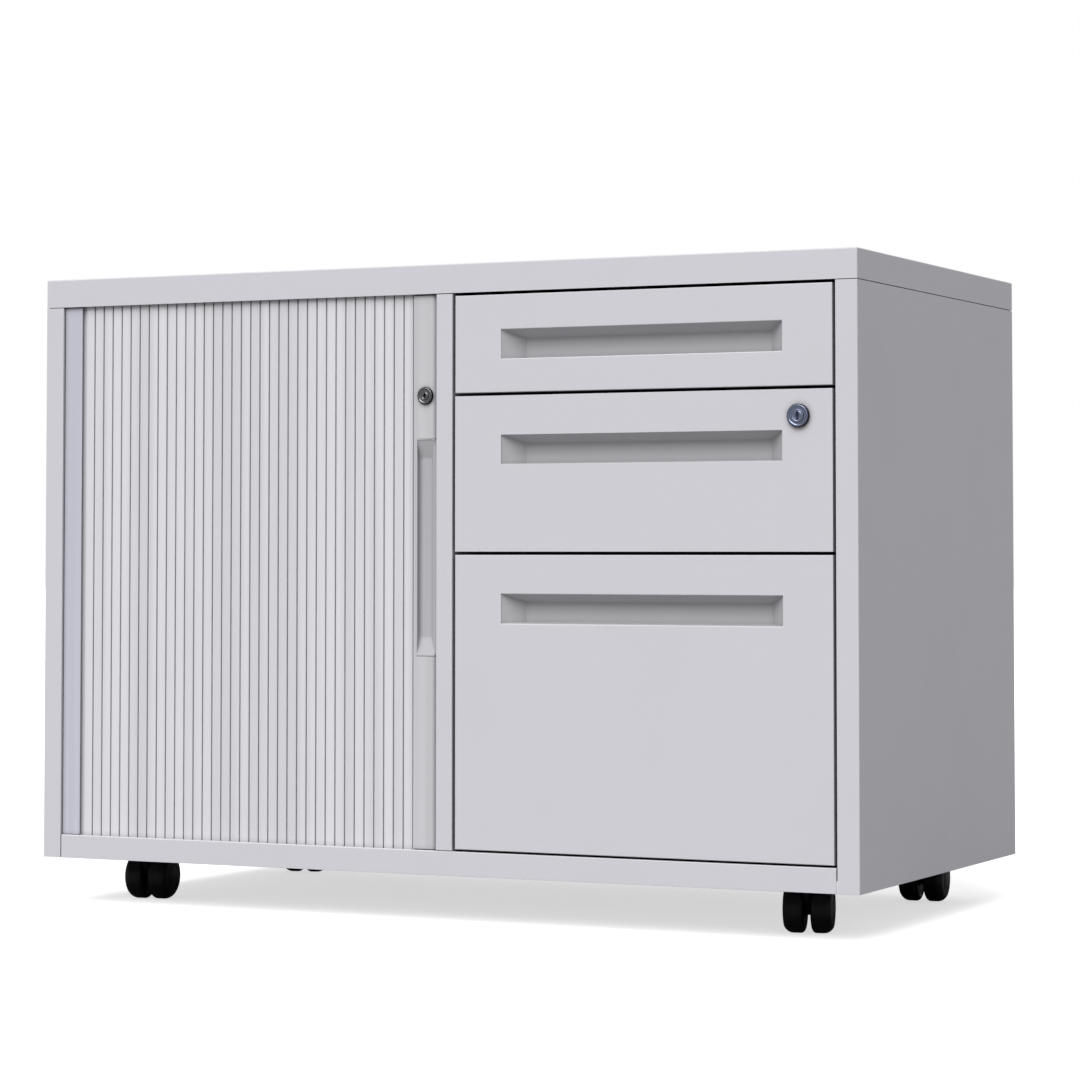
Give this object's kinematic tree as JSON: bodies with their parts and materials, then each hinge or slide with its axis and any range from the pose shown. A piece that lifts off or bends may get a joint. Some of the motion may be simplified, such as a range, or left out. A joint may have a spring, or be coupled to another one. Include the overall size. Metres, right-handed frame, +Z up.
{
  "type": "mobile storage caddy",
  "caption": "Mobile steel storage caddy: sliding tambour cupboard with shelf on the left, two box drawers and a file drawer with grip recesses on the right, on twin-wheel casters.",
  "frame": {"origin": "on the floor, under the middle of the whole object's box", "axes": "+Z up, the front with the drawers faces -Y, +X runs along the width towards the drawers"},
  "size_m": [0.9, 0.4746, 0.6475],
  "materials": {
    "body_paint": "light grey powder coat with a fine orange peel, satin",
    "grip_paint": "the same light grey powder coat inside the finger pulls",
    "tambour_plastic": "off-white extruded plastic with fine lengthwise die lines",
    "track_plastic": "light grey plastic guide track",
    "guide_strip": "smooth bluish grey plastic",
    "slide_zinc": "bright zinc-plated steel, lightly brushed",
    "lock_metal": "blue-grey burnished die casting",
    "caster_body": "black moulded nylon with a fine texture",
    "caster_wheel": "black moulded nylon, slightly polished on the tread"
  },
  "bodies": {
    "root": {"back_panel": "body_paint", "base_pan": "body_paint", "caster_back_left_plate": "slide_zinc", "caster_back_right_plate": "slide_zinc", "caster_front_left_plate": "slide_zinc", "caster_front_right_plate": "slide_zinc", "cupboard_shelf": "body_paint", "divider_panel": "body_paint", "drawer_1_outer_slide_left": "slide_zinc", "drawer_1_outer_slide_right": "slide_zinc", "drawer_2_outer_slide_left": "slide_zinc", "drawer_2_outer_slide_right": "slide_zinc", "drawer_3_outer_slide_left": "slide_zinc", "drawer_3_outer_slide_right": "slide_zinc", "drawer_bay_liner": "body_paint", "left_side_panel": "body_paint", "right_side_panel": "body_paint", "tambour_bottom_track": "track_plastic", "tambour_guide_strip": "guide_strip", "tambour_liner": "body_paint", "tambour_top_track": "track_plastic", "top_cap": "body_paint"},
    "tambour": {"tambour_end_profile": "tambour_plastic", "tambour_grip": "tambour_plastic", "tambour_lock_barrel": "lock_metal", "tambour_curtain": "tambour_plastic"},
    "tambour_lock": {"tambour_lock_plug": "lock_metal"},
    "drawer_lock": {"drawer_lock_plug": "lock_metal", "drawer_lock_cam": "slide_zinc"},
    "lock_bar": {"lock_bar": "slide_zinc"},
    "drawer_3_middle": {"drawer_3_middle_slide_left": "slide_zinc", "drawer_3_middle_slide_right": "slide_zinc"},
    "drawer_1": {"drawer_1_front": "body_paint", "drawer_1_grip": "grip_paint", "drawer_1_tray": "body_paint", "drawer_1_inner_slide_left": "slide_zinc", "drawer_1_inner_slide_right": "slide_zinc"},
    "drawer_2": {"drawer_2_front": "body_paint", "drawer_2_grip": "grip_paint", "drawer_2_tray": "body_paint", "drawer_2_inner_slide_left": "slide_zinc", "drawer_2_inner_slide_right": "slide_zinc", "drawer_lock_barrel": "lock_metal"},
    "drawer_3": {"drawer_3_front": "body_paint", "drawer_3_grip": "grip_paint", "drawer_3_tray": "body_paint", "drawer_3_inner_slide_left": "slide_zinc", "drawer_3_inner_slide_right": "slide_zinc"},
    "caster_front_left": {"caster_front_left_housing": "caster_body"},
    "caster_front_left_wheel_left": {"caster_front_left_wheel_left": "caster_wheel"},
    "caster_front_left_wheel_right": {"caster_front_left_wheel_right": "caster_wheel"},
    "caster_front_right": {"caster_front_right_housing": "caster_body"},
    "caster_front_right_wheel_left": {"caster_front_right_wheel_left": "caster_wheel"},
    "caster_front_right_wheel_right": {"caster_front_right_wheel_right": "caster_wheel"},
    "caster_back_left": {"caster_back_left_housing": "caster_body"},
    "caster_back_left_wheel_left": {"caster_back_left_wheel_left": "caster_wheel"},
    "caster_back_left_wheel_right": {"caster_back_left_wheel_right": "caster_wheel"},
    "caster_back_right": {"caster_back_right_housing": "caster_body"},
    "caster_back_right_wheel_left": {"caster_back_right_wheel_left": "caster_wheel"},
    "caster_back_right_wheel_right": {"caster_back_right_wheel_right": "caster_wheel"}
  },
  "joints": [
    {"name": "drawer_1_slide", "type": "slide", "parent": "root", "child": "drawer_1", "axis": [0, -1, 0], "range_m": [0, 0.3]},
    {"name": "drawer_2_slide", "type": "slide", "parent": "root", "child": "drawer_2", "axis": [0, -1, 0], "range_m": [0, 0.3]},
    {"name": "drawer_3_slide", "type": "slide", "parent": "root", "child": "drawer_3", "axis": [0, -1, 0], "range_m": [0, 0.38]},
    {"name": "drawer_3_middle_slide", "type": "slide", "parent": "root", "child": "drawer_3_middle", "axis": [0, -1, 0], "range_m": [0, 0.19]},
    {"name": "tambour_slide", "type": "slide", "parent": "root", "child": "tambour", "axis": [-1, 0, 0], "range_m": [0, 0.37], "deforming": ["tambour_curtain"]},
    {"name": "lock_bar_lift", "type": "slide", "parent": "root", "child": "lock_bar", "axis": [0, 0, 1], "range_m": [0, 0.01]},
    {"name": "drawer_lock_turn", "type": "hinge", "parent": "drawer_2", "child": "drawer_lock", "pos_m": [0.3915, -0.23275, 0.4914], "axis": [0, -1, 0], "range_deg": [0, 90]},
    {"name": "tambour_lock_turn", "type": "hinge", "parent": "tambour", "child": "tambour_lock", "pos_m": [-0.004, -0.23275, 0.518], "axis": [0, -1, 0], "range_deg": [0, 90]},
    {"name": "caster_front_left_swivel", "type": "hinge", "parent": "root", "child": "caster_front_left", "pos_m": [-0.37, -0.16075, 0.055], "axis": [0, 0, 1], "continuous": true},
    {"name": "caster_front_left_wheel_left_spin", "type": "hinge", "parent": "caster_front_left", "child": "caster_front_left_wheel_left", "pos_m": [-0.37237, -0.14392, 0.024], "axis": [0.9903, 0.1392, 0], "continuous": true},
    {"name": "caster_front_left_wheel_right_spin", "type": "hinge", "parent": "caster_front_left", "child": "caster_front_left_wheel_right", "pos_m": [-0.37237, -0.14392, 0.024], "axis": [0.9903, 0.1392, 0], "continuous": true},
    {"name": "caster_front_right_swivel", "type": "hinge", "parent": "root", "child": "caster_front_right", "pos_m": [0.37, -0.16075, 0.055], "axis": [0, 0, 1], "continuous": true},
    {"name": "caster_front_right_wheel_left_spin", "type": "hinge", "parent": "caster_front_right", "child": "caster_front_right_wheel_left", "pos_m": [0.36589, -0.14425, 0.024], "axis": [0.9703, 0.2419, 0], "continuous": true},
    {"name": "caster_front_right_wheel_right_spin", "type": "hinge", "parent": "caster_front_right", "child": "caster_front_right_wheel_right", "pos_m": [0.36589, -0.14425, 0.024], "axis": [0.9703, 0.2419, 0], "continuous": true},
    {"name": "caster_back_left_swivel", "type": "hinge", "parent": "root", "child": "caster_back_left", "pos_m": [-0.37, 0.16525, 0.055], "axis": [0, 0, 1], "continuous": true},
    {"name": "caster_back_left_wheel_left_spin", "type": "hinge", "parent": "caster_back_left", "child": "caster_back_left_wheel_left", "pos_m": [-0.37353, 0.18188, 0.024], "axis": [0.9781, 0.2079, 0], "continuous": true},
    {"name": "caster_back_left_wheel_right_spin", "type": "hinge", "parent": "caster_back_left", "child": "caster_back_left_wheel_right", "pos_m": [-0.37353, 0.18188, 0.024], "axis": [0.9781, 0.2079, 0], "continuous": true},
    {"name": "caster_back_right_swivel", "type": "hinge", "parent": "root", "child": "caster_back_right", "pos_m": [0.37, 0.16525, 0.055], "axis": [0, 0, 1], "continuous": true},
    {"name": "caster_back_right_wheel_left_spin", "type": "hinge", "parent": "caster_back_right", "child": "caster_back_right_wheel_left", "pos_m": [0.36822, 0.18216, 0.024], "axis": [0.9945, 0.1045, 0], "continuous": true},
    {"name": "caster_back_right_wheel_right_spin", "type": "hinge", "parent": "caster_back_right", "child": "caster_back_right_wheel_right", "pos_m": [0.36822, 0.18216, 0.024], "axis": [0.9945, 0.1045, 0], "continuous": true}
  ],
  "couplings": [
    {"joint": "drawer_3_middle_slide", "follows": "drawer_3_slide", "ratio": 0.5},
    {"joint": "drawer_lock_turn", "follows": "lock_bar_lift", "rad_per_m": 157.08}
  ]
}
